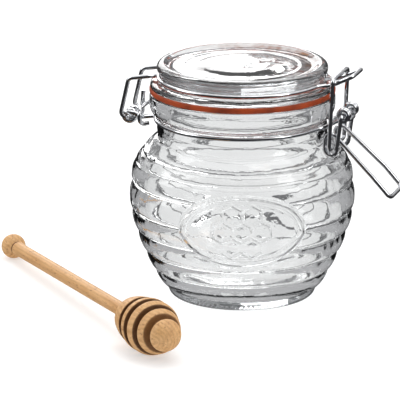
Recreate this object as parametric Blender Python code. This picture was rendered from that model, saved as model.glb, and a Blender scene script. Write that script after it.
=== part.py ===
"""A clear glass honey pot of beehive shape with a clip-down glass lid, its rubber seal and
its sprung wire fastening, and a turned beech honey dipper lying beside it.

Metres, +Z up. The origin is the middle of the pot's base, on the surface that it stands on.
The lid's hinge is at -X and the clasp at +X, both turning about lines along Y. The oval panel
faces the front, a little way round from -Y towards +X.
"""

import math

import bmesh
import bpy
from mathutils import Vector

mm = 0.001

# Pot: height and radii of the glass, all in millimetres until a mesh is made
rim_top = 97.4
rim_radius = 43.7
mouth_radius = 38.3
neck_radius = 39.6
neck_height = 76.0
wall = 3.2
floor_thickness = 5.5
foot_radius = 32.6
pot_steps = 52
barrel_steps = 56

# Creases between the beehive rings, top to bottom, each with the bulge of the ring below it
ring_creases = [
    (neck_radius, neck_height, 0.9),
    (46.6, 69.2, 0.6),
    (50.2, 64.2, 1.1),
    (51.6, 54.5, 1.6),
    (51.6, 41.6, 1.2),
    (48.6, 31.8, 1.2),
    (44.8, 21.7, 1.1),
    (40.8, 13.2, 1.1),
]
lowest_crease = (35.7, 4.9)
ring_segments = 3

# Oval panel on the front of the pot
panel_turn = 17.2
panel_height = 43.9
panel_half_width = 29.0
panel_half_height = 17.3
panel_rim_width = 1.5
panel_rim_rise = 0.8
panel_depth = 3.6

# Lid and seal
lid_top = 112.0
lid_rim_radius = 40.2
flange_radius = 43.3
flange_bottom = 100.6
flange_top = 102.8
plug_radius = 36.3
plug_bottom = 96.0
pad_radius = 19.8
pad_top = 111.8
dish_radius = 33.2
dish_height = 110.4
hollow_top = 104.4
seal_inner = 38.9
seal_outer = 43.7
seal_bottom = 97.75
seal_top = 100.25
lid_steps = 40

# Wires
wire_radius = 1.0
lid_ring_radius = 39.4
lid_ring_height = 104.7
neck_ring_radius = 40.8
neck_ring_height = 85.0
hinge_x = -54.2
hinge_z = 82.6
hinge_arm_y = 10.0
winding_radius = 2.5
winding_y = (6.4, -7.6)
pivot_x = 51.2
pivot_z = 91.6
coil_radius = 2.5
coil_outer_y = 8.0
coil_inner_y = 3.7
crank_y = 10.3
loop_x = 46.0
loop_z = 75.8
loop_rise = 3.7
loop_radius = 3.0
handle_start_y = 8.1
handle_bend = (66.7, 10.6, 64.1)
handle_end = (75.2, 10.4, 54.9)
bail_y = 12.7
bail_top = 109.5
bail_top_x = 47.6
tab_y = 7.8
tab_end = (55.8, 110.8)

# Dipper: where its knob and the widest place of its head lie, as x and y
knob_middle = (-122.0, 17.5)
head_middle = (-10.4, -106.0)
knob_radius = 5.9
handle_radius = 3.25
head_radius = 12.6
head_widest = 19.45
floor_gap = 0.2

# Lands of the head from its back edge: start, radius there, end, radius there, and the
# radius of the groove that follows
lands = [
    (0.0, 9.4, 9.9, 11.6, 7.8),
    (13.4, 12.0, 17.6, 12.6, 8.4),
    (21.3, 12.6, 25.8, 11.8, 7.8),
    (28.6, 10.8, 32.4, 9.2, 5.6),
]
cap_start = 35.9
cap_radius = 7.6
cap_end = 41.9
dipper_steps = 24


def clear_scene():
    for old in list(bpy.data.objects):
        bpy.data.objects.remove(old, do_unlink=True)


def principled(name, colour, roughness, metallic=0.0, transmission=0.0):
    material = bpy.data.materials.new(name)
    material.use_nodes = True
    shader = material.node_tree.nodes["Principled BSDF"]
    shader.inputs["Base Color"].default_value = (*colour, 1.0)
    shader.inputs["Roughness"].default_value = roughness
    shader.inputs["Metallic"].default_value = metallic
    shader.inputs["Transmission Weight"].default_value = transmission
    material.diffuse_color = (*colour, 1.0)
    return material


def add_object(name, data, material=None):
    piece = bpy.data.objects.new(name, data)
    bpy.context.scene.collection.objects.link(piece)
    if material:
        data.materials.append(material)
    return piece


def arc(start, end, bulge, segments):
    """Points of a round stretch from start to end, bulge out to the left of that direction.
    The end itself is left to the next stretch."""
    (ax, az), (bx, bz) = start, end
    chord = math.hypot(bx - ax, bz - az)
    out_x, out_z = -(bz - az) / chord, (bx - ax) / chord
    points = []
    for i in range(segments):
        t = i / segments
        lift = 4.0 * bulge * t * (1.0 - t)
        points.append((ax + (bx - ax) * t + out_x * lift, az + (bz - az) * t + out_z * lift))
    return points


def ring_outline():
    """The beehive rings from the neck to the lowest crease, top to bottom."""
    ends = [(r, z) for r, z, bulge in ring_creases[1:]] + [lowest_crease]
    points = []
    for (r, z, bulge), end in zip(ring_creases, ends):
        points += arc((r, z), end, bulge, ring_segments)
    return points


def pot_outline():
    """Half of the pot's section: down the outside from the rim, across the base and up the
    inside, so that it ends above where it started."""
    collar = [
        (mouth_radius + 1.6, rim_top),
        (rim_radius - 0.8, rim_top),
        (rim_radius, rim_top - 0.9),
        (rim_radius, 91.4),
        (42.6, 88.2),
        (40.4, 86.7),
        (neck_ring_radius - wire_radius - 0.4, neck_ring_height),
        (neck_radius + 0.2, 83.0),
        (neck_radius + 0.6, 80.6),
    ]
    foot = [lowest_crease, (34.6, 2.0), (foot_radius + 1.0, 0.5), (foot_radius, 0.0), (0.0, 0.0)]
    inside = [(0.0, floor_thickness), (26.0, floor_thickness), (32.0, 7.4)]
    for r, z, bulge in reversed(ring_creases):
        inside.append((r - wall, z - 0.4))
    inside += [(36.4, 80.0), (mouth_radius, 85.0), (mouth_radius, rim_top - 1.2)]
    return collar + ring_outline() + foot + inside


def turned(name, outline, steps, material=None, closed=True):
    """An outline of (radius, height) in millimetres turned about Z by a Screw modifier."""
    mesh = bpy.data.meshes.new(name)
    points = [(r * mm, 0.0, z * mm) for r, z in outline]
    edges = [(i, i + 1) for i in range(len(points) - 1)]
    if closed:
        edges.append((len(points) - 1, 0))
    mesh.from_pydata(points, edges, [])
    piece = add_object(name, mesh, material)
    screw = piece.modifiers.new("turn", "SCREW")
    screw.steps = steps
    screw.render_steps = steps
    screw.use_merge_vertices = True
    screw.merge_threshold = 0.00001
    screw.use_normal_calculate = False
    return piece


def as_cutter(piece):
    piece.hide_render = True
    piece.display_type = "WIRE"
    return piece


def boolean(piece, other, operation):
    cut = piece.modifiers.new(operation.lower(), "BOOLEAN")
    cut.operation = operation
    cut.object = other
    cut.solver = "EXACT"


def barrel_outline(proud, deep):
    """A smooth barrel wall through the crests of the rings, from above the panel to below it."""
    crests = [(49.8, 70.3), (51.6, 63.7), (53.0, 56.1), (53.5, 48.2), (52.6, 38.3), (49.9, 28.1)]
    crests.append((46.0, 18.1))
    outer = [(r + proud, z) for r, z in crests]
    inner = [(r - deep, z) for r, z in reversed(crests)]
    return outer + inner


def oval_prism(name, half_width, half_height, sides=32):
    """An upright oval bar that runs from the pot's axis out through its front."""
    bm = bmesh.new()
    turn = math.radians(panel_turn)
    across = Vector((math.cos(turn), math.sin(turn), 0.0))
    out = Vector((math.sin(turn), -math.cos(turn), 0.0))
    middle = Vector((0.0, 0.0, panel_height * mm))
    corners = []
    for i in range(sides):
        angle = 2.0 * math.pi * i / sides
        offset = across * (half_width * mm * math.cos(angle))
        offset += Vector((0.0, 0.0, half_height * mm * math.sin(angle)))
        corners.append(bm.verts.new(middle + out * (20.0 * mm) + offset))
    face = bm.faces.new(corners)
    moved = bmesh.ops.extrude_face_region(bm, geom=[face])["geom"]
    bmesh.ops.translate(
        bm, vec=out * (50.0 * mm), verts=[v for v in moved if isinstance(v, bmesh.types.BMVert)]
    )
    bmesh.ops.recalc_face_normals(bm, faces=bm.faces)
    mesh = bpy.data.meshes.new(name)
    bm.to_mesh(mesh)
    bm.free()
    return as_cutter(add_object(name, mesh))


def oval_patch(name, proud, deep, half_width, half_height, hole=None):
    """The piece of the smooth barrel inside an oval, with an oval hole if one is given."""
    patch = as_cutter(turned(name, barrel_outline(proud, deep), barrel_steps))
    boolean(patch, oval_prism(name + "_outline", half_width, half_height), "INTERSECT")
    if hole:
        boolean(patch, oval_prism(name + "_hole", *hole), "DIFFERENCE")
    return patch


def make_pot(glass):
    pot = turned("jar_glass", pot_outline(), pot_steps, glass)
    width, height, rim_width = panel_half_width, panel_half_height, panel_rim_width
    plate = oval_patch("panel_plate", 0.0, panel_depth, width - 0.4, height - 0.4)
    hole = (width - rim_width, height - rim_width)
    rim = oval_patch("panel_rim", panel_rim_rise, panel_depth - 0.3, width, height, hole)
    boolean(pot, plate, "UNION")
    boolean(pot, rim, "UNION")
    return pot


def lid_outline():
    """The lid's section from the raised pad in the middle of its top out over the dish and
    the rim, in along the wire's groove, round the flange and the plug, and back under."""
    groove_radius_in = lid_ring_radius - wire_radius - 0.4
    return [
        (0.0, pad_top),
        (pad_radius - 1.2, pad_top),
        (pad_radius + 1.4, dish_height),
        (dish_radius, dish_height),
        (35.8, 111.4),
        (37.0, lid_top),
        (38.8, lid_top - 0.2),
        (lid_rim_radius, lid_top - 1.6),
        (lid_rim_radius, 108.2),
        (groove_radius_in, 106.4),
        (groove_radius_in, lid_ring_height - 1.5),
        (39.6, flange_top),
        (flange_radius - 0.6, flange_top - 0.2),
        (flange_radius, flange_top - 0.9),
        (flange_radius, flange_bottom),
        (plug_radius, flange_bottom),
        (plug_radius, plug_bottom + 0.6),
        (plug_radius - 0.8, plug_bottom),
        (plug_radius - 2.6, plug_bottom),
        (plug_radius - 4.1, 101.5),
        (plug_radius - 5.8, hollow_top - 0.6),
        (0.0, hollow_top),
    ]


def make_lid(glass):
    return turned("lid_glass", lid_outline(), lid_steps, glass, closed=False)


def make_seal(rubber):
    outline = [
        (seal_inner, seal_top),
        (seal_outer - 0.7, seal_top),
        (seal_outer, seal_top - 0.7),
        (seal_outer, seal_bottom + 0.7),
        (seal_outer - 0.7, seal_bottom),
        (seal_inner, seal_bottom),
    ]
    return turned("seal", outline, lid_steps, rubber)


def rounded(points, radius, segments=4, closed=False):
    """A path through points with its corners rounded off, as bent wire has them."""
    points = [Vector(p) for p in points]
    count = len(points)
    path = []
    for i, corner in enumerate(points):
        if not closed and i in (0, count - 1):
            path.append(corner)
            continue
        before = points[i - 1]
        after = points[(i + 1) % count]
        back = (before - corner).normalized()
        onward = (after - corner).normalized()
        half = back.angle(onward) / 2.0
        if half > math.radians(85.0):
            path.append(corner)
            continue
        room = 0.45 * min((before - corner).length, (after - corner).length)
        setback = min(radius / math.tan(half), room)
        start = corner + back * setback
        end = corner + onward * setback
        for k in range(segments + 1):
            t = k / segments
            path.append(start * (1 - t) ** 2 + corner * 2 * t * (1 - t) + end * t * t)
    return path


def circle_part(centre, radius, start, end, segments, plane="XZ", level=0.0, slide=0.0):
    """Points on a circle from one angle to another. In plane XZ, level is the Y of the first
    point and slide moves the last one along Y, which makes a coil."""
    points = []
    for i in range(segments + 1):
        t = i / segments
        angle = math.radians(start + (end - start) * t)
        first = centre[0] + radius * math.cos(angle)
        second = centre[1] + radius * math.sin(angle)
        if plane == "XZ":
            points.append((first, level + slide * t, second))
        else:
            points.append((first, second, level + slide * t))
    return points


def mirrored(points):
    return [(x, -y, z) for x, y, z in reversed(points)]


def wire(name, points, material, closed=False):
    """A wire of round section along points in millimetres."""
    curve = bpy.data.curves.new(name, "CURVE")
    curve.dimensions = "3D"
    curve.bevel_depth = wire_radius * mm
    curve.bevel_resolution = 1
    curve.use_fill_caps = True
    curve.twist_mode = "MINIMUM"
    spline = curve.splines.new("POLY")
    spline.points.add(len(points) - 1)
    for place, point in zip(spline.points, points):
        place.co = (*(Vector(point) * mm), 1.0)
    spline.use_cyclic_u = closed
    spline.use_smooth = True
    return add_object(name, curve, material)


def make_lid_wire(steel):
    """One closed wire: round the lid's groove, out to the hinge bar and out to the lift tab."""
    leave_hinge = math.degrees(math.asin(hinge_arm_y / lid_ring_radius))
    leave_tab = math.degrees(math.asin(tab_y / lid_ring_radius))
    near_ring = circle_part(
        (0.0, 0.0), lid_ring_radius, -180.0 + leave_hinge, -leave_tab, 22, "XY", lid_ring_height
    )
    arm_y = hinge_arm_y
    hinge_arm = rounded(
        [
            (hinge_x, 0.0, hinge_z),
            (hinge_x, -arm_y, hinge_z),
            (hinge_x - 2.8, -arm_y, hinge_z + 2.2),
            (-53.0, -arm_y, 102.2),
            (-43.6, -arm_y, 103.8),
            near_ring[0],
        ],
        2.8,
    )
    tab_arm = rounded(
        [
            near_ring[-1],
            (43.8, -tab_y, 105.4),
            (48.2, -tab_y, 107.0),
            (tab_end[0], -tab_y, tab_end[1]),
            (tab_end[0], 0.0, tab_end[1]),
        ],
        2.2,
    )
    near = hinge_arm[1:-1] + near_ring + tab_arm[1:-1]
    return wire("lid_wire", near + mirrored(near), steel, closed=True)


def hinge_winding():
    """The near end of the neck wire, from its tip: it stands up at the far side of the hinge
    bar and then winds along the bar to the near side."""
    far_y, near_y = winding_y
    tip = [(hinge_x + 3.0, far_y, 92.6), (hinge_x + winding_radius, far_y, hinge_z + 3.4)]
    turns = circle_part(
        (hinge_x, hinge_z), winding_radius, 0.0, -990.0, 28, "XZ", far_y, near_y - far_y
    )
    return tip + turns


def hinge_hook():
    """The far end of the neck wire, from its tip: it hooks round the near arm from below and
    crosses over to the far side."""
    return rounded(
        [
            (-43.4, -8.8, 80.9),
            (-46.3, -9.3, 80.3),
            (-47.2, -11.0, 82.0),
            (-47.4, -11.0, 85.0),
            (-48.0, -7.6, 87.6),
            (-47.4, 1.6, 88.4),
            (-43.4, 6.6, 85.8),
        ],
        1.8,
        3,
    )


def neck_half():
    """From the pot's hinge side half round its neck and out into the clasp's coil."""
    ring_start = math.degrees(math.asin(9.6 / neck_ring_radius))
    ring_end = math.degrees(math.asin(11.2 / neck_ring_radius))
    ring = circle_part(
        (0.0, 0.0),
        neck_ring_radius,
        -180.0 + ring_start,
        -ring_end,
        22,
        "XY",
        neck_ring_height,
    )
    out_of_ring = rounded(
        [
            ring[-1],
            (42.0, -8.4, 85.4),
            (pivot_x - 2.6, -coil_outer_y, pivot_z - coil_radius - 0.1),
        ],
        2.4,
    )
    coil = circle_part(
        (pivot_x, pivot_z),
        coil_radius,
        -90.0,
        630.0,
        22,
        "XZ",
        -coil_outer_y,
        coil_outer_y - coil_inner_y,
    )
    across = rounded(
        [
            (pivot_x + 0.4, -coil_inner_y, pivot_z - coil_radius),
            (pivot_x + 2.2, -coil_inner_y + 0.3, pivot_z - coil_radius),
            (pivot_x + 2.2, 0.0, pivot_z - coil_radius),
        ],
        1.4,
    )
    return ring + out_of_ring[1:] + coil + across[1:-1]


def make_neck_wire(steel):
    half = neck_half()
    winding = hinge_winding()
    near_arm = rounded(
        [winding[-1], (-50.6, winding_y[1], 84.9), (-47.0, -8.6, 83.6), half[0], half[1]], 2.6, 3
    )
    far_half = mirrored(half)
    hook = hinge_hook()
    far_arm = rounded([far_half[-2], far_half[-1], *reversed(hook[-2:])], 2.0, 3)
    near = winding[:-1] + near_arm[:-1] + half[1:]
    far = far_half[:-2] + far_arm[:-1] + hook[-2::-1]
    return wire("neck_wire", near + far, steel)


def make_lever(steel, pivot):
    """The clasp's handle wire: pins in the neck wire's coils, cranks, loops for the bail and
    the long handle."""
    crank = rounded(
        [
            (pivot_x, -coil_inner_y + 0.2, pivot_z),
            (pivot_x, -crank_y, pivot_z),
            (loop_x + loop_radius, -crank_y, loop_z + 1.0),
        ],
        1.3,
    )
    slide = crank_y - handle_start_y
    under = circle_part(
        (loop_x, loop_z), loop_radius, 0.0, -180.0, 8, "XZ", -crank_y, slide * 0.5
    )
    over = circle_part(
        (loop_x, loop_z + loop_rise),
        loop_radius,
        180.0,
        48.0,
        7,
        "XZ",
        -crank_y + slide * 0.7,
        slide * 0.3,
    )
    bend_x, bend_y, bend_z = handle_bend
    end_x, end_y, end_z = handle_end
    handle = rounded(
        [
            over[-1],
            (bend_x, -bend_y, bend_z),
            (end_x, -end_y, end_z),
            (end_x, 0.0, end_z),
        ],
        3.2,
        5,
    )
    near = crank[:-1] + under + over + handle[1:-1]
    points = [(x - pivot_x, y, z - pivot_z) for x, y, z in near + mirrored(near)]
    lever = wire("clasp_lever", points, steel)
    lever.parent = pivot
    return lever


def make_bail(steel, pivot):
    """The clasp's bail: turned-in ends in the lever's loops, two legs and the bar that holds
    the lid's wire down."""
    near = rounded(
        [
            (loop_x, -handle_start_y + 0.6, loop_z),
            (loop_x, -bail_y, loop_z),
            (loop_x + 0.6, -bail_y, loop_z + 12.0),
            (bail_top_x, -bail_y, bail_top),
            (bail_top_x, 0.0, bail_top),
        ],
        2.0,
    )[:-1]
    points = [(x - loop_x, y, z - loop_z) for x, y, z in near + mirrored(near)]
    bail = wire("clasp_bail", points, steel)
    bail.parent = pivot
    return bail


def axis_empty(name, x, z):
    empty = bpy.data.objects.new(name, None)
    empty.location = (x * mm, 0.0, z * mm)
    bpy.context.scene.collection.objects.link(empty)
    return empty


def dipper_outline(reach):
    """The dipper's section, from the tip of its head back to the end of its knob, with reach
    the distance from the knob's middle to the head's widest place."""
    head_start = reach - head_widest
    outline = [
        (0.0, cap_end),
        (cap_radius * 0.35, cap_end - 0.4),
        (cap_radius * 0.72, cap_end - 1.9),
        (cap_radius * 0.96, cap_end - 4.2),
        (cap_radius, cap_start),
    ]
    groove_end = cap_start
    for start, start_radius, end, end_radius, groove in reversed(lands):
        middle_radius = (start_radius + end_radius) / 2.0 + 0.25
        outline += [(groove, groove_end), (groove, end), (end_radius, end)]
        outline += [(middle_radius, (start + end) / 2.0), (start_radius, start)]
        groove_end = start
    outline.append((handle_radius, 0.0))
    outline = [(r, z + head_start) for r, z in outline]
    knob_joint = math.degrees(math.asin((handle_radius - 0.2) / knob_radius))
    for i in range(7):
        angle = math.radians(knob_joint + (180.0 - knob_joint) * i / 6.0)
        outline.append((knob_radius * math.sin(angle), knob_radius * math.cos(angle)))
    outline[-1] = (0.0, -knob_radius)
    return outline


def make_dipper(wood):
    """The dipper lies on its knob and the widest part of its head."""
    start = Vector((*knob_middle, knob_radius))
    axis = Vector((*head_middle, head_radius + floor_gap)) - start
    dipper = turned("dipper", dipper_outline(axis.length), dipper_steps, wood, closed=False)
    dipper.location = start * mm
    dipper.rotation_euler = axis.to_track_quat("Z", "Y").to_euler()
    return dipper


def main():
    clear_scene()
    glass = principled("clear_glass", (0.93, 0.95, 0.95), 0.02, transmission=1.0)
    steel = principled("bright_wire", (0.72, 0.73, 0.75), 0.15, metallic=1.0)
    rubber = principled("orange_rubber", (0.62, 0.17, 0.05), 0.55)
    wood = principled("beech", (0.76, 0.50, 0.28), 0.6)
    make_pot(glass)
    make_lid(glass)
    make_seal(rubber)
    make_lid_wire(steel)
    make_neck_wire(steel)
    clasp_pivot = axis_empty("clasp_pivot", pivot_x, pivot_z)
    bail_pivot = axis_empty("bail_pivot", loop_x, loop_z)
    make_lever(steel, clasp_pivot)
    make_bail(steel, bail_pivot)
    make_dipper(wood)
    bpy.context.view_layer.update()


main()
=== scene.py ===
import math

import bmesh
import bpy
import numpy
from mathutils import Matrix, Vector, noise


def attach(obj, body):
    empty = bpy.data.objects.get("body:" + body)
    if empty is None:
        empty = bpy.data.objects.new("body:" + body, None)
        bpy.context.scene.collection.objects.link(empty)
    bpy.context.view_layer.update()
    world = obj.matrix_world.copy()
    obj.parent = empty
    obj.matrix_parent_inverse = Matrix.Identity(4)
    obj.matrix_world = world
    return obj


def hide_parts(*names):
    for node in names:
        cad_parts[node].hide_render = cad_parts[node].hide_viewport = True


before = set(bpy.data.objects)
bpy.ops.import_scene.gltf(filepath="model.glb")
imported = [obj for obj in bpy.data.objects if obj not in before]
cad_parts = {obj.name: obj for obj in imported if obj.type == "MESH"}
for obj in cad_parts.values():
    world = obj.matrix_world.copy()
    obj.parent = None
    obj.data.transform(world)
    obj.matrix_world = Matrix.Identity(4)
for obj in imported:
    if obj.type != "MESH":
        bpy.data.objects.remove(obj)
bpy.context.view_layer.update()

mm = 0.001
weldGap = 0.002 * mm


def finishPiece(piece, body, slot, *nodes):
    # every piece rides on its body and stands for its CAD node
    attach(piece, body)
    if nodes:
        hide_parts(*nodes)
    return piece


def meshPiece(name, bm, material):
    mesh = bpy.data.meshes.new(name)
    bm.to_mesh(mesh)
    bm.free()
    mesh.materials.append(material)
    mesh.shade_smooth()
    piece = bpy.data.objects.new(name, mesh)
    bpy.context.scene.collection.objects.link(piece)
    return piece


def arcStretch(start, end, bulge, fullness, count):
    # a round stretch from start to end, its end point left to the next stretch
    (ax, az), (bx, bz) = start, end
    chord = math.hypot(bx - ax, bz - az)
    outX, outZ = -(bz - az) / chord, (bx - ax) / chord
    points = []
    for i in range(count):
        t = 0.5 - 0.5 * math.cos(math.pi * i / count)      # closer together at the ends
        lift = bulge * (1.0 - abs(2.0 * t - 1.0) ** fullness)
        points.append((ax + (bx - ax) * t + outX * lift, az + (bz - az) * t + outZ * lift))
    return points


def evenly(points, step):
    # the same outline with a point about every step millimetres
    fine = []
    for (ax, az), (bx, bz) in zip(points, points[1:]):
        count = max(1, round(math.hypot(bx - ax, bz - az) / step))
        for i in range(count):
            fine.append((ax + (bx - ax) * i / count, az + (bz - az) * i / count))
    fine.append(points[-1])
    return fine


def soften(points, passes):
    # rounds an outline's corners off; the two ends stay
    for _ in range(passes):
        inner = []
        for (ax, az), (bx, bz), (cx, cz) in zip(points, points[1:], points[2:]):
            inner.append(((ax + 2 * bx + cx) / 4, (az + 2 * bz + cz) / 4))
        points = [points[0], *inner, points[-1]]
    return points


def outlineMesh(outline, closed):
    bm = bmesh.new()
    verts = [bm.verts.new((max(r, 0.0) * mm, 0.0, z * mm)) for r, z in outline]
    for a, b in zip(verts, verts[1:]):
        bm.edges.new((a, b))
    if closed:
        bm.edges.new((verts[-1], verts[0]))
    return bm


def spinPart(bm, geometry, angle, steps, whole=False):
    return bmesh.ops.spin(
        bm, geom=geometry, cent=(0, 0, 0), axis=(0, 0, 1), dvec=(0, 0, 0),
        angle=angle, steps=steps, use_merge=whole, use_duplicate=False,
    )["geom_last"]


def closeUp(bm):
    bmesh.ops.remove_doubles(bm, verts=bm.verts, dist=weldGap)
    bmesh.ops.recalc_face_normals(bm, faces=bm.faces)


def lathe(outline, steps, closed=True):
    bm = outlineMesh(outline, closed)
    spinPart(bm, bm.verts[:] + bm.edges[:], 2 * math.pi, steps, whole=True)
    closeUp(bm)
    return bm


def newMaterial(name, viewColour):
    material = bpy.data.materials.new(name)
    material.use_nodes = True
    material.diffuse_color = (*viewColour, 1.0)
    nodes = material.node_tree.nodes
    return material, nodes, material.node_tree.links, nodes["Principled BSDF"]


def noiseNode(nodes, links, vector, scale, detail=3.0, rough=0.5):
    node = nodes.new("ShaderNodeTexNoise")
    node.inputs["Scale"].default_value = scale
    node.inputs["Detail"].default_value = detail
    node.inputs["Roughness"].default_value = rough
    links.new(vector, node.inputs["Vector"])
    return node.outputs["Fac"]


def rampNode(nodes, links, factor, stops):
    node = nodes.new("ShaderNodeValToRGB")
    ramp = node.color_ramp
    ramp.elements[0].position, ramp.elements[0].color = stops[0][0], (*stops[0][1], 1.0)
    ramp.elements[1].position, ramp.elements[1].color = stops[-1][0], (*stops[-1][1], 1.0)
    for place, colour in stops[1:-1]:
        ramp.elements.new(place).color = (*colour, 1.0)
    links.new(factor, node.inputs["Fac"])
    return node.outputs["Color"]


def spread(nodes, links, factor, low, high, fromLow=0.0, fromHigh=1.0):
    node = nodes.new("ShaderNodeMapRange")
    for key, value in zip(("From Min", "From Max", "To Min", "To Max"),
                          (fromLow, fromHigh, low, high)):
        node.inputs[key].default_value = value
    links.new(factor, node.inputs["Value"])
    return node.outputs["Result"]


def blendColour(nodes, links, factor, first, second, kind="MIX"):
    node = nodes.new("ShaderNodeMix")
    node.data_type = "RGBA"
    node.blend_type = kind
    colourSockets = [socket for socket in node.inputs if socket.type == "RGBA"]
    for value, socket in zip((factor, first, second), [node.inputs["Factor"], *colourSockets]):
        if isinstance(value, bpy.types.NodeSocket):
            links.new(value, socket)
        elif isinstance(value, float):
            socket.default_value = value
        else:
            socket.default_value = (*value, 1.0)
    return [socket for socket in node.outputs if socket.type == "RGBA"][0]


def multiply(nodes, links, first, second):
    node = nodes.new("ShaderNodeMath")
    node.operation = "MULTIPLY"
    links.new(first, node.inputs[0])
    links.new(second, node.inputs[1])
    return node.outputs["Value"]


def separate(nodes, links, vector):
    node = nodes.new("ShaderNodeSeparateXYZ")
    links.new(vector, node.inputs["Vector"])
    return node.outputs


def bumpNode(nodes, links, height, strength, distance, normal=None):
    node = nodes.new("ShaderNodeBump")
    node.inputs["Strength"].default_value = strength
    node.inputs["Distance"].default_value = distance
    links.new(height, node.inputs["Height"])
    if normal:
        links.new(normal, node.inputs["Normal"])
    return node.outputs["Normal"]


def mixShaders(nodes, links, factor, first, second):
    node = nodes.new("ShaderNodeMixShader")
    links.new(factor, node.inputs["Fac"])
    links.new(first, node.inputs[1])
    links.new(second, node.inputs[2])
    return node.outputs["Shader"]


glassLook = {
    "tint": (0.985, 0.99, 0.99),
    "bend": 1.5,                     # refractive index
    "absorb": (0.60, 0.62, 0.63),    # colour that thick glass takes
    "density": 16.0,
    "shadow": (0.93, 0.94, 0.94),    # how much lamplight the glass lets through
    "rough": (0.0, 0.02),
    "waveScale": 55.0,               # slow waves of pressed glass, per metre
    "waveBump": (0.35, 0.0016),      # strength and depth
    "seedScale": 420.0,
    "seedBump": (0.10, 0.0003),
}


def makeClearGlass(name):
    material, nodes, links, shader = newMaterial(name, (0.8, 0.85, 0.87))
    place = nodes.new("ShaderNodeTexCoord").outputs["Object"]
    shader.inputs["Base Color"].default_value = (*glassLook["tint"], 1.0)
    shader.inputs["Transmission Weight"].default_value = 1.0
    shader.inputs["IOR"].default_value = glassLook["bend"]
    waves = noiseNode(nodes, links, place, glassLook["waveScale"], 2.0)
    fine = noiseNode(nodes, links, place, glassLook["seedScale"], 2.0)
    rough = spread(nodes, links, fine, *glassLook["rough"], 0.35, 0.75)
    links.new(rough, shader.inputs["Roughness"])
    slow = bumpNode(nodes, links, waves, *glassLook["waveBump"])
    both = bumpNode(nodes, links, fine, *glassLook["seedBump"], slow)
    links.new(both, shader.inputs["Normal"])
    # lamps shine through the glass
    clear = nodes.new("ShaderNodeBsdfTransparent")
    clear.inputs["Color"].default_value = (*glassLook["shadow"], 1.0)
    shadowRay = nodes.new("ShaderNodeLightPath").outputs["Is Shadow Ray"]
    mixed = mixShaders(nodes, links, shadowRay, shader.outputs["BSDF"], clear.outputs["BSDF"])
    output = nodes["Material Output"]
    links.new(mixed, output.inputs["Surface"])
    absorb = nodes.new("ShaderNodeVolumeAbsorption")
    absorb.inputs["Color"].default_value = (*glassLook["absorb"], 1.0)
    absorb.inputs["Density"].default_value = glassLook["density"]
    links.new(absorb.outputs["Volume"], output.inputs["Volume"])
    return material


paintedSealReflection = {
    "colour": (0.20, 0.050, 0.014),  # the seal's colour, a painted reflection of the seal in the lid's rim
    "between": (26.5, 37.5),         # radii of the band of painted reflection
    "above": (106.0, 108.0),         # only the lid's top is tinted
    "towards": (0.55, 0.80, 0.0),    # strongest at the back right
    "fade": (0.0, 18.0),
    "swirlScale": 140.0,
    "swirl": (0.45, 1.0),
}


def makeLidGlass():
    material = makeClearGlass("lidClearGlass")
    nodes, links = material.node_tree.nodes, material.node_tree.links
    place = nodes.new("ShaderNodeTexCoord").outputs["Object"]
    split = separate(nodes, links, place)
    level = nodes.new("ShaderNodeCombineXYZ")
    links.new(split["X"], level.inputs["X"])
    links.new(split["Y"], level.inputs["Y"])
    radius = nodes.new("ShaderNodeVectorMath")
    radius.operation = "LENGTH"
    links.new(level.outputs["Vector"], radius.inputs[0])
    inner, outer = paintedSealReflection["between"]
    across = spread(nodes, links, radius.outputs["Value"], 0.0, 1.0, inner * mm, outer * mm)
    none, full = (0.0, 0.0, 0.0), (1.0, 1.0, 1.0)
    amount = rampNode(nodes, links, across, [(0.0, none), (0.3, full), (0.8, full), (1.0, none)])
    aside = nodes.new("ShaderNodeVectorMath")
    aside.operation = "DOT_PRODUCT"
    links.new(place, aside.inputs[0])
    aside.inputs[1].default_value = paintedSealReflection["towards"]
    start, end = paintedSealReflection["fade"]
    side = spread(nodes, links, aside.outputs["Value"], 0.0, 1.0, start * mm, end * mm)
    low, high = paintedSealReflection["above"]
    top = spread(nodes, links, split["Z"], 0.0, 1.0, low * mm, high * mm)
    cloud = noiseNode(nodes, links, place, paintedSealReflection["swirlScale"])
    swirl = spread(nodes, links, cloud, *paintedSealReflection["swirl"], 0.35, 0.6)
    for share in (side, top, swirl):
        amount = multiply(nodes, links, amount, share)
    # painted reflection: the seal's colour mixed into the lid glass's base colour, strongest at the
    # back right
    colour = blendColour(nodes, links, amount, glassLook["tint"], paintedSealReflection["colour"])
    links.new(colour, nodes["Principled BSDF"].inputs["Base Color"])
    return material


wireLook = {
    "colour": (0.86, 0.87, 0.89),
    "dull": 0.86,                    # brightness of its duller patches
    "rough": (0.03, 0.09),
    "patchScale": 260.0,
    "scuffScale": 1800.0,
    "scuffBump": (0.12, 0.0001),
}


def makeBrightWire():
    material, nodes, links, shader = newMaterial("brightWire", (0.75, 0.76, 0.78))
    place = nodes.new("ShaderNodeTexCoord").outputs["Object"]
    shader.inputs["Metallic"].default_value = 1.0
    patches = noiseNode(nodes, links, place, wireLook["patchScale"], 4.0)
    scuffs = noiseNode(nodes, links, place, wireLook["scuffScale"])
    low = tuple(c * wireLook["dull"] for c in wireLook["colour"])
    colour = rampNode(nodes, links, patches, [(0.3, low), (0.65, wireLook["colour"])])
    links.new(colour, shader.inputs["Base Color"])
    links.new(spread(nodes, links, scuffs, *wireLook["rough"], 0.3, 0.7),
              shader.inputs["Roughness"])
    links.new(bumpNode(nodes, links, scuffs, *wireLook["scuffBump"]), shader.inputs["Normal"])
    return material


rubberLook = {
    "colour": (0.40, 0.052, 0.004),
    "dark": (0.20, 0.026, 0.003),
    "cloudScale": 130.0,
    "grainScale": 2400.0,
    "grainBump": (0.25, 0.0002),
    "rough": (0.48, 0.70),
    "shine": 0.3,
}


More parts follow.
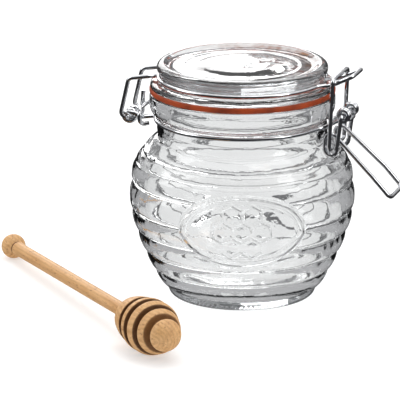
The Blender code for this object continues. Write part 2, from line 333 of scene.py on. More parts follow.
def makeRubber():
    material, nodes, links, shader = newMaterial("orangeRubber", (0.7, 0.25, 0.08))
    place = nodes.new("ShaderNodeTexCoord").outputs["Object"]
    cloud = noiseNode(nodes, links, place, rubberLook["cloudScale"], 4.0)
    grainy = noiseNode(nodes, links, place, rubberLook["grainScale"])
    colour = rampNode(nodes, links, cloud, [(0.3, rubberLook["dark"]), (0.6, rubberLook["colour"])])
    links.new(colour, shader.inputs["Base Color"])
    links.new(spread(nodes, links, grainy, *rubberLook["rough"]), shader.inputs["Roughness"])
    shader.inputs["Specular IOR Level"].default_value = rubberLook["shine"]
    links.new(bumpNode(nodes, links, grainy, *rubberLook["grainBump"]), shader.inputs["Normal"])
    return material


pot = {
    # creases between the rings: radius, height, bulge of the ring below
    "creases": [
        (39.6, 76.0, 1.1), (46.6, 69.2, 0.75), (50.1, 64.2, 1.35), (51.3, 54.5, 1.8),
        (51.3, 41.6, 1.5), (48.6, 31.8, 1.5), (44.8, 21.7, 1.35), (40.8, 13.2, 1.3),
    ],
    "lowestCrease": (35.7, 4.9),
    "collar": [
        (38.3, 96.4), (39.3, 97.4), (42.9, 97.4), (43.7, 96.5), (43.7, 91.4), (42.6, 88.2),
        (40.4, 86.7), (39.4, 85.0), (39.8, 83.0), (40.2, 80.6),
    ],
    "foot": [(34.8, 2.2), (33.9, 0.5), (32.4, 0.0), (28.5, 0.0)],
    "base": [(28.5, 0.0), (27.0, 0.7), (20.0, 1.5), (0.0, 1.8)],
    "inside": [(0.0, 5.2), (16.0, 5.0), (28.0, 5.0), (33.6, 7.4)],
    "insideTop": [(36.4, 80.0), (36.3, 85.0), (36.6, 88.5), (38.3, 92.5), (38.3, 96.4)],
    "wall": 3.3,
    "frontAngle": 84.0,
    "frontSteps": 120,
    "backSteps": 190,
    "outsideStep": 0.8,
    "ringPoints": 13,
    "ringFullness": 3.0,             # higher is flatter in the middle, steeper at the creases
    "baseStep": 2.0,
    "insideStep": 2.2,
    # the inner skin's slow waves and finer ripples: depth and how many a metre
    "waves": [(0.28, 55.0), (0.1, 160.0)],
    "wavesAbove": 5.5,
    "knurls": 96,
    "knurlDepth": 0.16,
    "knurlTop": 1.6,
    "knurlRadii": (27.5, 34.4),
    # height and a radius between the inner and the outer skin there
    "skinBetween": [
        (0.0, 20.0), (8.0, 34.0), (13.2, 39.3), (21.7, 43.2), (31.8, 47.0), (41.6, 50.0),
        (54.5, 50.0), (64.2, 48.6), (69.2, 45.0), (76.0, 38.0), (85.0, 38.8), (97.4, 38.6),
    ],
}

panel = {
    "turn": 17.2,
    "height": 43.9,
    "halfWidth": 29.0,
    "halfHeight": 17.3,
    "rimMiddle": 0.8,
    "rimHalfWidth": 0.992,
    "rimRise": 0.75,
    # crests of the rings, which the smooth panel runs through
    "crests": [(49.8, 70.3), (51.6, 63.7), (53.0, 56.1), (53.5, 48.2), (52.6, 38.3),
               (49.9, 28.1), (46.0, 18.1)],
    "cellAcross": 9.0,
    "cellRidge": 0.8,
    "cellRise": 0.55,
    "cellRows": [(-1, 2), (0, 3), (1, 2)],
    "cellDome": 0.3,
    "cellDomeEdge": (1.0, 3.4),      # how far from a wall the dome starts and is full
    "beadInset": 3.9,
    "beadRise": 0.22,
    "beadHalfWidth": 0.9,
    "margin": 2.5,                   # worked on round the oval
    "skinDepth": 3.6,                # below the barrel's radius the inner skin starts
    "upTo": 72.0,
    "frontFrom": 20.0,
}


def potOutline():
    creases = pot["creases"]
    ends = [(r, z) for r, z, bulge in creases[1:]] + [pot["lowestCrease"]]
    rings = []
    for (r, z, bulge), end in zip(creases, ends):
        rings += arcStretch((r, z), end, bulge, pot["ringFullness"], pot["ringPoints"])
    collar = soften(evenly(pot["collar"], pot["outsideStep"]), 2)
    foot = soften(evenly([pot["lowestCrease"]] + pot["foot"], pot["outsideStep"]), 2)
    outside = collar + rings + foot
    base = soften(evenly(pot["base"], pot["baseStep"]), 2)
    inside = pot["inside"] + [(r - pot["wall"], z - 0.4) for r, z, bulge in reversed(creases)]
    inside = soften(evenly(inside + pot["insideTop"], pot["insideStep"]), 2)
    return outside + base[1:] + inside[:-1]


def panelPlace(points):
    # points across and above the panel's middle, their radius and the smooth barrel's radius
    turn = math.radians(panel["turn"])
    out = points[:, 0] * math.sin(turn) - points[:, 1] * math.cos(turn)
    across = points[:, 0] * math.cos(turn) + points[:, 1] * math.sin(turn)
    heights = points[:, 2]
    crests = numpy.array(panel["crests"])
    barrel = numpy.polyval(numpy.polyfit(crests[:, 1], crests[:, 0], 4), heights)
    radius = numpy.hypot(points[:, 0], points[:, 1])
    up = heights - panel["height"]
    near = (out > panel["frontFrom"]) & (radius > barrel - panel["skinDepth"])
    near &= (heights < panel["upTo"]) & (abs(across) < panel["halfWidth"] + panel["margin"])
    near &= abs(up) < panel["halfHeight"] + panel["margin"]
    return near, across, up, radius, barrel


def softEdge(low, high, value):
    t = numpy.clip((value - low) / (high - low), 0.0, 1.0)
    return t * t * (3.0 - 2.0 * t)


def ridgeAt(distance, middle, halfWidth):
    return softEdge(0.0, 1.0, 1.0 - abs(distance - middle) / halfWidth)


def combRise(across, up):
    # raised walls of a small comb of cells, with each cell slightly domed
    size = panel["cellAcross"]
    sideAngles = (0.0, math.pi / 3, -math.pi / 3)
    nearest = numpy.full(across.shape, -1000.0)
    for row, count in panel["cellRows"]:
        for i in range(count):
            x = across - (i - (count - 1) / 2.0) * size
            z = up - row * size * math.sqrt(3.0) / 2.0
            sides = [abs(x * math.cos(a) + z * math.sin(a)) for a in sideAngles]
            nearest = numpy.maximum(nearest, size / 2.0 - numpy.maximum.reduce(sides))
    return (panel["cellRise"] * ridgeAt(nearest, 0.0, panel["cellRidge"])
            + panel["cellDome"] * softEdge(*panel["cellDomeEdge"], nearest))


def shapePanel(points):
    near, across, up, radius, barrel = panelPlace(points)
    across, up, start, barrel = across[near], up[near], radius[near], barrel[near]
    halfWidth, halfHeight = panel["halfWidth"], panel["halfHeight"]
    reach = numpy.maximum(numpy.hypot(across / halfWidth, up / halfHeight), 0.05)
    slope = numpy.hypot(across / halfWidth ** 2, up / halfHeight ** 2) / reach
    inset = (1.0 - reach) / numpy.maximum(slope, 0.01)     # distance inside the oval's edge
    wanted = start + (barrel - start) * softEdge(-0.5, 0.5, inset)
    wanted += panel["rimRise"] * ridgeAt(inset, panel["rimMiddle"], panel["rimHalfWidth"])
    wanted += panel["beadRise"] * ridgeAt(inset, panel["beadInset"], panel["beadHalfWidth"])
    wanted += combRise(across, up)
    points[near, :2] *= (wanted / start)[:, None]


def waveGlass(points):
    # pressed glass is never quite even: slow waves inside, fine knurls round the foot
    radius = numpy.hypot(points[:, 0], points[:, 1])
    table = numpy.array(pot["skinBetween"])
    limit = numpy.interp(points[:, 2], table[:, 0], table[:, 1])
    push = numpy.zeros(len(points))
    inside = (radius < limit) & (points[:, 2] > pot["wavesAbove"]) & (radius > 1.0)
    for i in numpy.nonzero(inside)[0]:
        place = Vector(points[i]) * mm
        push[i] = sum(depth * noise.noise(place * scale) for depth, scale in pot["waves"])
    inner, outer = pot["knurlRadii"]
    foot = (points[:, 2] < pot["knurlTop"]) & (radius > inner) & (radius < outer)
    turns = numpy.arctan2(points[:, 1], points[:, 0]) * pot["knurls"]
    push[foot] = pot["knurlDepth"] * numpy.cos(turns[foot])
    points[:, :2] *= (1.0 + push / numpy.maximum(radius, 1.0))[:, None]


def makePot(glass):
    bm = outlineMesh(potOutline(), True)
    front = math.radians(pot["frontAngle"])
    start = math.radians(panel["turn"] - 90.0) - front / 2
    bmesh.ops.rotate(bm, cent=(0, 0, 0), matrix=Matrix.Rotation(start, 3, "Z"), verts=bm.verts)
    last = spinPart(bm, bm.verts[:] + bm.edges[:], front, pot["frontSteps"])
    spinPart(bm, last, 2 * math.pi - front, pot["backSteps"])
    closeUp(bm)
    near = panelPlace(numpy.array([v.co for v in bm.verts]) / mm)[0]
    window = {v for v, isNear in zip(bm.verts, near) if isNear}
    edges = [e for e in bm.edges if e.verts[0] in window and e.verts[1] in window]
    bmesh.ops.subdivide_edges(bm, edges=edges, cuts=1, use_grid_fill=True)
    piece = meshPiece("potGlass", bm, glass)
    points = numpy.empty(len(piece.data.vertices) * 3)
    piece.data.vertices.foreach_get("co", points)
    points = points.reshape(-1, 3) / mm
    shapePanel(points)
    waveGlass(points)
    piece.data.vertices.foreach_set("co", (points * mm).ravel())
    piece.data.update()
    return finishPiece(piece, "pot", "glass", "jar_glass")


lid = {
    "top": [
        (0.0, 111.2), (17.0, 111.2), (18.6, 111.1), (20.2, 110.8), (21.6, 110.5), (23.0, 110.35),
        (26.6, 110.3), (27.6, 110.45), (28.4, 110.6), (29.2, 110.45), (30.2, 110.3), (33.0, 110.3),
        (34.4, 110.7), (35.6, 111.4), (36.6, 111.9), (37.6, 112.0), (38.8, 111.7), (39.8, 111.0),
        (40.2, 110.0), (40.2, 108.4), (39.4, 107.2), (38.0, 106.3), (38.0, 103.3), (39.4, 102.8),
        (42.6, 102.7), (43.3, 101.9), (43.3, 100.6),
    ],
    "under": [
        (36.3, 100.6), (36.3, 96.6), (35.5, 96.0), (33.7, 96.0), (32.8, 98.6), (31.8, 101.8),
        (30.4, 103.8), (27.0, 104.3), (12.0, 104.4), (0.0, 104.4),
    ],
    "steps": 256,
    "topStep": 0.7,
    "underStep": 1.12,
    "wave": 0.06,
    "waveScale": 70.0,
    "waveWithin": 34.0,
}


def makeLid(glass):
    top = soften(evenly(lid["top"], lid["topStep"]), 2)
    under = soften(evenly(lid["top"][-1:] + lid["under"], lid["underStep"]), 1)
    bm = lathe(top + under[1:], lid["steps"], closed=False)
    for vert in bm.verts:
        co = vert.co
        if math.hypot(co.x, co.y) < lid["waveWithin"] * mm:
            co.z += lid["wave"] * mm * noise.noise(Vector((co.x, co.y, 0.3)) * lid["waveScale"])
    piece = meshPiece("lidGlass", bm, glass)
    return finishPiece(piece, "lid", "glass", "lid_glass")


seal = {
    "outline": [(41.0, 100.25), (38.9, 100.25), (38.9, 97.75), (43.2, 97.75), (43.7, 98.3),
                (43.7, 99.7), (43.2, 100.25), (41.0, 100.25)],
    "steps": 224,
    "step": 0.25,
}


def makeSeal(rubber):
    outline = soften(evenly(seal["outline"], seal["step"]), 2)
    bm = lathe(outline, seal["steps"], closed=False)
    piece = meshPiece("sealRing", bm, rubber)
    return finishPiece(piece, "lid", "seal_rubber", "seal")


wire = {
    "radius": 1.0,
    "roundness": 5,
    "straightEnough": 85.0,          # half angle above which a corner isn't rounded
    "lidRing": (39.4, 104.7),        # radius and height of the ring in the lid's groove
    "neckRing": (40.8, 85.0),
    "hinge": (-54.2, 82.6),
    "hingeArmY": 10.0,
    "hingeCorner": (-53.0, 102.2),   # where the hinge arms bend towards the lid
    "hingeLanding": (-43.6, 103.8),
    "windingRadius": 2.5,            # of the neck wire's turns round the hinge bar
    "windingY": (6.4, -7.6),
    "windingTurns": 2.75,
    "tipHeight": 92.6,               # of the neck wire's end that stands up
    "neckLeaveY": (9.6, 11.2),       # where the neck wire leaves its ring, hinge and clasp side
    "pivot": (51.2, 91.6),
    "coilRadius": 2.5,
    "coilOuterY": 8.0,
    "coilInnerY": 3.7,
    "crankY": 10.3,
    "loop": (46.0, 75.8),
    "loopRise": 3.7,
    "loopRadius": 3.0,
    "handleStartY": 8.1,
    "handleBend": (66.7, 10.6, 64.1),
    "handleEnd": (75.2, 10.4, 54.9),
    "bailY": 12.7,
    "bailTop": (47.6, 109.5),
    "tabY": 7.8,
    "tabEnd": (55.8, 110.8),
}


def rounded(points, radius, count=8):
    # a path through points with its corners rounded off, as bent wire has them
    points = [Vector(p) for p in points]
    path = [points[0]]
    for before, corner, after in zip(points, points[1:], points[2:]):
        back = (before - corner).normalized()
        onward = (after - corner).normalized()
        half = back.angle(onward) / 2.0
        if half > math.radians(wire["straightEnough"]):
            path.append(corner)
            continue
        room = 0.45 * min((before - corner).length, (after - corner).length)
        setback = min(radius / math.tan(half), room)
        start, end = corner + back * setback, corner + onward * setback
        for k in range(count + 1):
            t = k / count
            path.append(start * (1 - t) ** 2 + corner * 2 * t * (1 - t) + end * t * t)
    path.append(points[-1])
    return path


def coil(centre, radius, start, end, count, level, slide=0.0):
    # points on an upright circle, sliding along Y from level
    points = []
    for i in range(count + 1):
        t = i / count
        angle = math.radians(start + (end - start) * t)
        points.append(Vector((centre[0] + radius * math.cos(angle), level + slide * t,
                              centre[1] + radius * math.sin(angle))))
    return points


def hoop(radius, height, start, end, count):
    points = []
    for i in range(count + 1):
        angle = math.radians(start + (end - start) * i / count)
        points.append(Vector((radius * math.cos(angle), radius * math.sin(angle), height)))
    return points


def mirrored(points):
    return [Vector((p[0], -p[1], p[2])) for p in reversed(points)]


def wirePiece(name, points, material, body, node, closed=False):
    curve = bpy.data.curves.new(name, "CURVE")
    curve.dimensions = "3D"
    curve.bevel_depth = wire["radius"] * mm
    curve.bevel_resolution = wire["roundness"]
    curve.use_fill_caps = True
    curve.twist_mode = "MINIMUM"
    curve.materials.append(material)
    spline = curve.splines.new("POLY")
    spline.points.add(len(points) - 1)
    for place, point in zip(spline.points, points):
        place.co = (*(Vector(point) * mm), 1.0)
    spline.use_cyclic_u = closed
    spline.use_smooth = True
    piece = bpy.data.objects.new(name, curve)
    bpy.context.scene.collection.objects.link(piece)
    return finishPiece(piece, body, "wire", node)


def makeLidWire(steel):
    ringRadius, ringHeight = wire["lidRing"]
    hingeX, hingeZ = wire["hinge"]
    cornerX, cornerZ = wire["hingeCorner"]
    landingX, landingZ = wire["hingeLanding"]
    armY, tabY = wire["hingeArmY"], wire["tabY"]
    leaveHinge = math.degrees(math.asin(armY / ringRadius))
    leaveTab = math.degrees(math.asin(tabY / ringRadius))
    ring = hoop(ringRadius, ringHeight, -180.0 + leaveHinge, -leaveTab, 90)
    hingeArm = rounded([
        (hingeX, 0.0, hingeZ), (hingeX, -armY, hingeZ), (hingeX - 2.8, -armY, hingeZ + 2.2),
        (cornerX, -armY, cornerZ), (landingX, -armY, landingZ), ring[0],
    ], 2.8)
    tabX, tabZ = wire["tabEnd"]
    tabArm = rounded([
        ring[-1], (43.8, -tabY, 105.4), (48.2, -tabY, 107.0), (tabX, -tabY, tabZ),
        (tabX, 0.0, tabZ),
    ], 2.2)
    near = hingeArm[1:-1] + ring + tabArm[1:-1]
    return wirePiece("lidWireBent", near + mirrored(near), steel, "lid", "lid_wire", closed=True)


def neckHalf():
    ringRadius, ringHeight = wire["neckRing"]
    pivotX, pivotZ = wire["pivot"]
    radius, innerY = wire["coilRadius"], wire["coilInnerY"]
    start, end = (math.degrees(math.asin(y / ringRadius)) for y in wire["neckLeaveY"])
    ring = hoop(ringRadius, ringHeight, -180.0 + start, -end, 90)
    outOfRing = rounded([
        ring[-1], (42.0, -8.4, 85.4), (pivotX - 2.6, -wire["coilOuterY"], pivotZ - radius - 0.1),
    ], 2.4)
    turns = coil((pivotX, pivotZ), radius, -90.0, 630.0, 72, -wire["coilOuterY"],
                 wire["coilOuterY"] - innerY)
    across = rounded([
        (pivotX + 0.4, -innerY, pivotZ - radius), (pivotX + 2.2, -innerY + 0.3, pivotZ - radius),
        (pivotX + 2.2, 0.0, pivotZ - radius),
    ], 1.4)
    return ring + outOfRing[1:] + turns + across[1:-1]


def makeNeckWire(steel):
    hingeX, hingeZ = wire["hinge"]
    radius = wire["windingRadius"]
    farY, nearY = wire["windingY"]
    turned = -360.0 * wire["windingTurns"]
    # one end stands up, then winds along the hinge bar
    tip = [Vector((hingeX + 3.0, farY, wire["tipHeight"])),
           Vector((hingeX + radius, farY, hingeZ + 3.4))]
    winding = tip + coil((hingeX, hingeZ), radius, 0.0, turned, 110, farY, nearY - farY)
    half = neckHalf()
    nearArm = rounded([
        winding[-1], (-50.6, nearY, 84.9), (-47.0, -8.6, 83.6), half[0], half[1],
    ], 2.6)
    # the other end crosses over and hooks round the near arm
    farHalf = mirrored(half)
    hook = rounded([
        farHalf[-2], farHalf[-1], (-43.4, 6.6, 85.8), (-47.4, 1.6, 88.4), (-48.0, -7.6, 87.6),
        (-47.4, -11.0, 85.0), (-47.2, -11.0, 82.0), (-46.3, -9.3, 80.3), (-43.4, -8.8, 80.9),
    ], 1.8)
    points = winding[:-1] + nearArm[:-1] + half[1:] + farHalf[:-2] + hook
    return wirePiece("neckWireBent", points, steel, "pot", "neck_wire")


def makeLever(steel):
    pivotX, pivotZ = wire["pivot"]
    loopX, loopZ = wire["loop"]
    radius, crankY = wire["loopRadius"], wire["crankY"]
    crank = rounded([
        (pivotX, -wire["coilInnerY"] + 0.2, pivotZ), (pivotX, -crankY, pivotZ),
        (loopX + radius, -crankY, loopZ + 1.0),
    ], 1.3)
    slide = crankY - wire["handleStartY"]
    under = coil((loopX, loopZ), radius, 0.0, -180.0, 24, -crankY, slide * 0.5)
    over = coil((loopX, loopZ + wire["loopRise"]), radius, 180.0, 48.0, 20,
                -crankY + slide * 0.7, slide * 0.3)
    bendX, bendY, bendZ = wire["handleBend"]
    endX, endY, endZ = wire["handleEnd"]
    handle = rounded([
        over[-1], (bendX, -bendY, bendZ), (endX, -endY, endZ), (endX, 0.0, endZ),
    ], 3.2, 10)
    near = crank[:-1] + under + over + handle[1:-1]
    return wirePiece("claspLeverBent", near + mirrored(near), steel, "lever", "clasp_lever")


def makeBail(steel):
    loopX, loopZ = wire["loop"]
    topX, topZ = wire["bailTop"]
    bailY = wire["bailY"]
    near = rounded([
        (loopX, -wire["handleStartY"] + 0.6, loopZ), (loopX, -bailY, loopZ),
        (loopX + 0.6, -bailY, loopZ + 12.0), (topX, -bailY, topZ), (topX, 0.0, topZ),
    ], 2.0)[:-1]
    return wirePiece("claspBailBent", near + mirrored(near), steel, "bail", "clasp_bail")


dipper = {
    "knobMiddle": (-122.0, 17.5),
    "headMiddle": (-10.4, -106.0),
    "knobRadius": 5.9,
    "handleRadius": 3.25,
    "headRadius": 12.6,
    "headWidest": 19.45,
    "floorGap": 0.2,
    # lands of the head: start, radius there, end, radius there, radius of the next groove
    "lands": [
        (0.0, 9.4, 9.9, 11.6, 7.8), (13.4, 12.0, 17.6, 12.6, 8.4),
        (21.3, 12.6, 25.8, 11.8, 7.8), (28.6, 10.8, 32.4, 9.2, 5.6),
    ],
    "capStart": 35.9,
    "capRadius": 7.6,
    "capEnd": 41.9,
    "steps": 128,
    "step": 0.4,
    "landDome": 0.25,                # how far a land bulges between its edges
    "grooveRound": 0.3,
}


def dipperAxis():
    start = Vector((*dipper["knobMiddle"], dipper["knobRadius"]))
    return start, Vector((*dipper["headMiddle"], dipper["headRadius"] + dipper["floorGap"])) - start


def dipperOutline(reach):
    # radius and distance along the axis, from the head's tip back to the knob
    headStart = reach - dipper["headWidest"]
    cap, capEnd = dipper["capRadius"], dipper["capEnd"]
    outline = [(0.0, capEnd), (cap * 0.2, capEnd - 0.1), (cap * 0.45, capEnd - 0.6),
               (cap * 0.7, capEnd - 1.7), (cap * 0.88, capEnd - 3.0), (cap * 0.98, capEnd - 4.6),
               (cap, dipper["capStart"])]
    grooveEnd = dipper["capStart"]
    for start, startRadius, end, endRadius, groove in reversed(dipper["lands"]):
        middle = (startRadius + endRadius) / 2.0 + dipper["landDome"]
        corner = groove + dipper["grooveRound"]
        outline += [(corner, grooveEnd), (groove, (grooveEnd + end) / 2), (corner, end)]
        outline += [(endRadius, end), (middle, (start + end) / 2.0), (startRadius, start)]
        grooveEnd = start
    outline += [(dipper["handleRadius"] + 0.4, 0.0), (dipper["handleRadius"], -0.8)]
    outline = [(r, z + headStart) for r, z in outline]
    knob, handle = dipper["knobRadius"], dipper["handleRadius"]
    outline += [(handle, knob + 8.0), (handle + 0.25, knob + 2.0), (handle + 0.35, knob + 0.4),
                (handle - 0.5, knob + 0.2), (handle - 0.5, knob - 0.5)]
    joint = math.degrees(math.asin((handle + 0.35) / knob))
    for i in range(25):
        angle = math.radians(joint + (180.0 - joint) * i / 24.0)
        outline.append((knob * math.sin(angle), knob * math.cos(angle)))
    outline[-1] = (0.0, -knob)
    return outline


def makeDipper(wood):
    start, axis = dipperAxis()
    outline = soften(evenly(dipperOutline(axis.length), dipper["step"]), 2)
    bm = lathe(outline, dipper["steps"], closed=False)
    turn = axis.to_track_quat("Z", "Y").to_matrix()
    bmesh.ops.rotate(bm, cent=(0, 0, 0), matrix=turn, verts=bm.verts)
    bmesh.ops.translate(bm, vec=start * mm, verts=bm.verts)
    piece = meshPiece("dipperTurned", bm, wood)
    return finishPiece(piece, "pot", "wood", "dipper")


woodLook = {
    "pale": (0.83, 0.50, 0.225),
    "mid": (0.66, 0.355, 0.135),
    "fleck": (0.36, 0.15, 0.055),
    "burnt": (0.125, 0.040, 0.007),
    "scorched": (0.27, 0.115, 0.030),      # the wider, paler groove before the cap
    "burntEdge": 0.15,                     # how far the burn reaches past a groove's walls
    "knobRingBurnAndShade": (-0.9, 0.45),              # dark ring where the handle meets the knob, from the knob's radius: partly burnt, partly painted shade in the joint
    "ringPitch": 0.0017,
    "ringShare": 0.30,
    "pith": (0.008, 0.002),                # where the tree's middle lies off the dipper's axis
    "grainScale": 620.0,
    "grainStretch": 0.09,                  # along the dipper, against across it
    "grainBump": (0.35, 0.0003),
    "cloudScale": 120.0,
    "cloudShare": 0.4,
    "fleckScale": 1150.0,
    "fleckStretch": 0.28,
    "fleckAmount": 0.7,
    "rough": (0.42, 0.62),
}


def bandNode(nodes, links, along, low, high, bands):
    # bands of colour between low and high along the dipper; gives the colour and how much of it
    share = spread(nodes, links, along, 0.0, 1.0, low * mm, high * mm)
    node = nodes.new("ShaderNodeValToRGB")
    ramp = node.color_ramp
    ramp.elements[0].position, ramp.elements[0].color = 0.0, (*bands[0][2], 0.0)
    ramp.elements[1].position, ramp.elements[1].color = 1.0, (*bands[-1][2], 0.0)
    soft = 0.1
    for start, end, colour in bands:
        edges = ((start - soft, 0.0), (start + soft, 1.0), (end - soft, 1.0), (end + soft, 0.0))
        for edge, amount in edges:
            ramp.elements.new((edge - low) / (high - low)).color = (*colour, amount)
    links.new(share, node.inputs["Fac"])
    return node.outputs["Color"], node.outputs["Alpha"]


def stretched(nodes, links, vector, share):
    node = nodes.new("ShaderNodeMapping")
    node.inputs["Scale"].default_value = (1.0, 1.0, share)
    links.new(vector, node.inputs["Vector"])
    return node.outputs["Vector"]


def makeWood():
    material, nodes, links, shader = newMaterial("turnedBeech", (0.8, 0.6, 0.38))
    place = nodes.new("ShaderNodeTexCoord").outputs["Object"]
    start, axis = dipperAxis()
    along = nodes.new("ShaderNodeMapping")      # turns the pattern along the dipper
    along.vector_type = "TEXTURE"
    along.inputs["Location"].default_value = start * mm
    along.inputs["Rotation"].default_value = axis.to_track_quat("Z", "Y").to_euler()
    links.new(place, along.inputs["Vector"])
    local = along.outputs["Vector"]
    longways = stretched(nodes, links, local, woodLook["grainStretch"])
    short = stretched(nodes, links, local, woodLook["fleckStretch"])
    grain = noiseNode(nodes, links, longways, woodLook["grainScale"], 5.0, 0.6)
    broad = noiseNode(nodes, links, longways, woodLook["cloudScale"], 2.0)
    flecks = noiseNode(nodes, links, short, woodLook["fleckScale"], 2.0)
    # growth rings round a pith off the axis: long stripes on the side, arcs on the cap
    offset = nodes.new("ShaderNodeMapping")
    offset.inputs["Location"].default_value = (*woodLook["pith"], 0.0)
    links.new(longways, offset.inputs["Vector"])
    rings = nodes.new("ShaderNodeTexWave")
    rings.wave_type = "RINGS"
    rings.rings_direction = "Z"
    rings.inputs["Scale"].default_value = 0.314 / woodLook["ringPitch"]
    rings.inputs["Distortion"].default_value = 2.2
    rings.inputs["Detail"].default_value = 3.0
    rings.inputs["Detail Scale"].default_value = 0.6
    links.new(offset.outputs["Vector"], rings.inputs["Vector"])
    base = rampNode(nodes, links, grain, [(0.30, woodLook["mid"]), (0.60, woodLook["pale"])])
    white = (1.0, 1.0, 1.0)
    stripes = rampNode(nodes, links, rings.outputs["Fac"],
                       [(0.15, (0.62, 0.52, 0.44)), (0.6, white)])
    striped = blendColour(nodes, links, woodLook["ringShare"], base, stripes, "MULTIPLY")
    clouds = rampNode(nodes, links, broad, [(0.3, (0.80, 0.72, 0.64)), (0.6, white)])
    cloudy = blendColour(nodes, links, woodLook["cloudShare"], striped, clouds, "MULTIPLY")
    fleckShare = spread(nodes, links, flecks, 0.0, woodLook["fleckAmount"], 0.60, 0.70)
    spotted = blendColour(nodes, links, fleckShare, cloudy, woodLook["fleck"])
    # burnt grooves, and the dark ring where the handle meets the knob, partly burnt and partly
    # painted shade
    height = separate(nodes, links, local)["Z"]
    headStart = axis.length - dipper["headWidest"]
    knob = dipper["knobRadius"]
    ends = [land[2] for land in dipper["lands"]]
    starts = [land[0] for land in dipper["lands"][1:]] + [dipper["capStart"]]
    wider = woodLook["burntEdge"]
    bands = []
    for low, high in zip(ends, starts):
        colour = woodLook["scorched"] if high == dipper["capStart"] else woodLook["burnt"]
        bands.append((headStart + low - wider, headStart + high + wider, colour))
    burn, burnAmount = bandNode(nodes, links, height, headStart, headStart + dipper["capEnd"],
                                bands)
    # painted shade in the knob's joint, together with its burn
    inner, outer = woodLook["knobRingBurnAndShade"]
    ring, knobBurnAndShadeAmount = bandNode(nodes, links, height, knob - 3.0, knob + 3.0,
                                [(knob + inner, knob + outer, woodLook["burnt"])])
    uneven = rampNode(nodes, links, grain, [(0.3, (0.75, 0.75, 0.75)), (0.7, white)])
    unevenBurn = blendColour(nodes, links, 1.0, burn, uneven, "MULTIPLY")
    grooved = blendColour(nodes, links, burnAmount, spotted, unevenBurn)
    final = blendColour(nodes, links, knobBurnAndShadeAmount, grooved, ring)
    links.new(final, shader.inputs["Base Color"])
    links.new(spread(nodes, links, grain, *woodLook["rough"]), shader.inputs["Roughness"])
    links.new(bumpNode(nodes, links, grain, *woodLook["grainBump"]), shader.inputs["Normal"])
    return material


stage = {
    "azimuth": 17.25,
    "elevation": 15.56,
    "distance": 2.0,
    "aim": (0.0, 0.0, 0.055),
    "lens": 381.4,
    "rightOfAim": -0.0199,           # the object stands right of and above the frame's middle
    "aboveAim": -0.0101,
    "floorSize": 12.0,
    "floorColour": (0.62, 0.62, 0.62),
    "floorGlow": 0.48,
    "floorInWire": (0.03, 0.03, 0.032),
    "floorInGlass": (0.50, 0.50, 0.51),
    "floorFade": 4.0,                # how far off the floor seen through the glass is darkest
    "floorThroughGlass": [
        (0.0, (0.95, 0.95, 0.95)), (0.10, (0.95, 0.95, 0.95)), (0.22, (0.50, 0.50, 0.51)),
        (0.6, (0.22, 0.22, 0.225)), (1.0, (0.18, 0.18, 0.185)),
    ],
    "sky": [
        (0.0, (0.15, 0.15, 0.155)), (0.20, (0.16, 0.16, 0.165)), (0.40, (0.50, 0.50, 0.51)),
        (0.7, (0.85, 0.85, 0.86)), (1.0, (0.9, 0.9, 0.9)),
    ],
    "backdrop": (0.95, 0.95, 0.95),
    "darkRoom": (0.03, 0.03, 0.032),
    "darkInFront": (-0.75, -0.35),   # full and none, as directions along Y
    "darkBelow": (0.80, 0.95),       # full and none, as directions up
    # softboxes: name, place, what it faces, size, power
    "lamps": [
        ("overhead", (0.1, 0.2, 1.5), (0.0, 0.0, 0.05), (1.4, 1.0), 8.0),
        ("leftBox", (-1.3, -0.5, 0.9), (0.0, 0.0, 0.06), (0.7, 1.1), 6.0),
        ("rightBox", (1.4, -0.4, 0.8), (0.0, 0.0, 0.06), (0.5, 1.0), 4.5),
        # its right edge shows as the edge of the glare on the lid
        ("backBox", (-0.90, 1.435, 0.568), (-0.414, -0.129, 0.11), (0.9, 0.6), 6.0),
    ],
}


def makeCamera():
    az, el = math.radians(stage["azimuth"]), math.radians(stage["elevation"])
    back = Vector((math.sin(az) * math.cos(el), -math.cos(az) * math.cos(el), math.sin(el)))
    right = Vector((math.cos(az), math.sin(az), 0.0))
    up = back.cross(right)
    aim = Vector(stage["aim"])
    data = bpy.data.cameras.new("photoCamera")
    data.lens = stage["lens"]
    data.sensor_width = 36.0
    data.clip_end = 50.0
    camera = bpy.data.objects.new("photoCamera", data)
    camera.location = aim + back * stage["distance"]
    target = aim + right * stage["rightOfAim"] + up * stage["aboveAim"]
    camera.rotation_mode = "QUATERNION"
    camera.rotation_quaternion = (target - camera.location).to_track_quat("-Z", "Y")
    bpy.context.scene.collection.objects.link(camera)
    bpy.context.scene.camera = camera


def softbox(name, place, target, size, power):
    data = bpy.data.lights.new(name, "AREA")
    data.shape = "RECTANGLE"
    data.size, data.size_y = size
    data.energy = power
    lamp = bpy.data.objects.new(name, data)
    lamp.location = place
    lamp.rotation_mode = "QUATERNION"
    lamp.rotation_quaternion = (Vector(target) - Vector(place)).to_track_quat("-Z", "Y")
    bpy.context.scene.collection.objects.link(lamp)


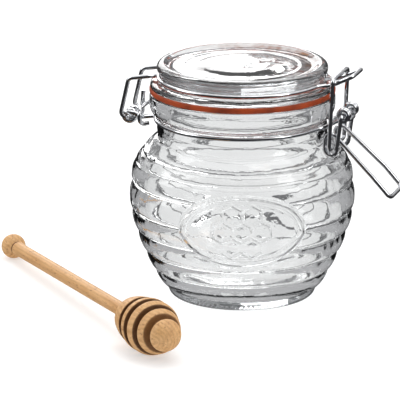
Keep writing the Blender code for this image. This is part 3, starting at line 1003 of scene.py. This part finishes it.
def makeFloor():
    bm = bmesh.new()
    bmesh.ops.create_circle(bm, cap_ends=True, segments=96, radius=stage["floorSize"])
    material, nodes, links, shader = newMaterial("paleFloor", (0.9, 0.9, 0.9))
    shader.inputs["Base Color"].default_value = (*stage["floorColour"], 1.0)
    shader.inputs["Roughness"].default_value = 0.8
    shader.inputs["Emission Color"].default_value = (1.0, 1.0, 1.0, 1.0)
    shader.inputs["Emission Strength"].default_value = stage["floorGlow"]
    path = nodes.new("ShaderNodeLightPath").outputs
    # seen through the glass the floor is pale near the pot and greyer further off
    place = nodes.new("ShaderNodeTexCoord").outputs["Object"]
    away = nodes.new("ShaderNodeVectorMath")
    away.operation = "LENGTH"
    links.new(place, away.inputs[0])
    share = spread(nodes, links, away.outputs["Value"], 0.0, 1.0, 0.0, stage["floorFade"])
    fade = rampNode(nodes, links, share, stage["floorThroughGlass"])
    through = nodes.new("ShaderNodeEmission")
    links.new(fade, through.inputs["Color"])
    inside = nodes.new("ShaderNodeEmission")       # mirrored inside the glass
    inside.inputs["Color"].default_value = (*stage["floorInGlass"], 1.0)
    outside = nodes.new("ShaderNodeEmission")      # mirrored in wires and on the glass
    outside.inputs["Color"].default_value = (*stage["floorInWire"], 1.0)
    throughGlass = spread(nodes, links, path["Transmission Depth"], 0.0, 1.0)
    bounced = spread(nodes, links, path["Glossy Depth"], 0.0, 1.0)
    first = mixShaders(nodes, links, throughGlass, shader.outputs["BSDF"], through.outputs[0])
    second = mixShaders(nodes, links, throughGlass, outside.outputs[0], inside.outputs[0])
    both = mixShaders(nodes, links, bounced, first, second)
    links.new(both, nodes["Material Output"].inputs["Surface"])
    floor = meshPiece("paleFloor", bm, material)


def makeWorld():
    world = bpy.data.worlds.new("studio")
    bpy.context.scene.world = world
    world.use_nodes = True
    nodes, links = world.node_tree.nodes, world.node_tree.links
    background = nodes["Background"]
    place = nodes.new("ShaderNodeTexCoord").outputs["Generated"]
    split = separate(nodes, links, place)
    height = spread(nodes, links, split["Z"], 0.0, 1.0, -0.1, 1.0)
    sky = rampNode(nodes, links, height, stage["sky"])
    # the room is dark behind the camera, which the wires mirror
    front = spread(nodes, links, split["Y"], 1.0, 0.0, *stage["darkInFront"])
    low = spread(nodes, links, split["Z"], 1.0, 0.0, *stage["darkBelow"])
    dark = multiply(nodes, links, front, low)
    room = blendColour(nodes, links, dark, sky, stage["darkRoom"])
    seen = nodes.new("ShaderNodeLightPath").outputs["Is Camera Ray"]
    colour = blendColour(nodes, links, seen, room, stage["backdrop"])
    links.new(colour, background.inputs["Color"])
    background.inputs["Strength"].default_value = 1.0


def main():
    bpy.context.scene.view_settings.view_transform = "Standard"
    makeCamera()
    makeFloor()
    makeWorld()
    for lamp in stage["lamps"]:
        softbox(*lamp)
    print("stage ready")
    glass = makeClearGlass("clearGlass")
    steel = makeBrightWire()
    makePot(glass)
    print("pot ready")
    makeLid(makeLidGlass())
    makeSeal(makeRubber())
    print("lid and seal ready")
    makeLidWire(steel)
    makeNeckWire(steel)
    makeLever(steel)
    makeBail(steel)
    print("wires ready")
    makeDipper(makeWood())
    print("dipper ready")


main()
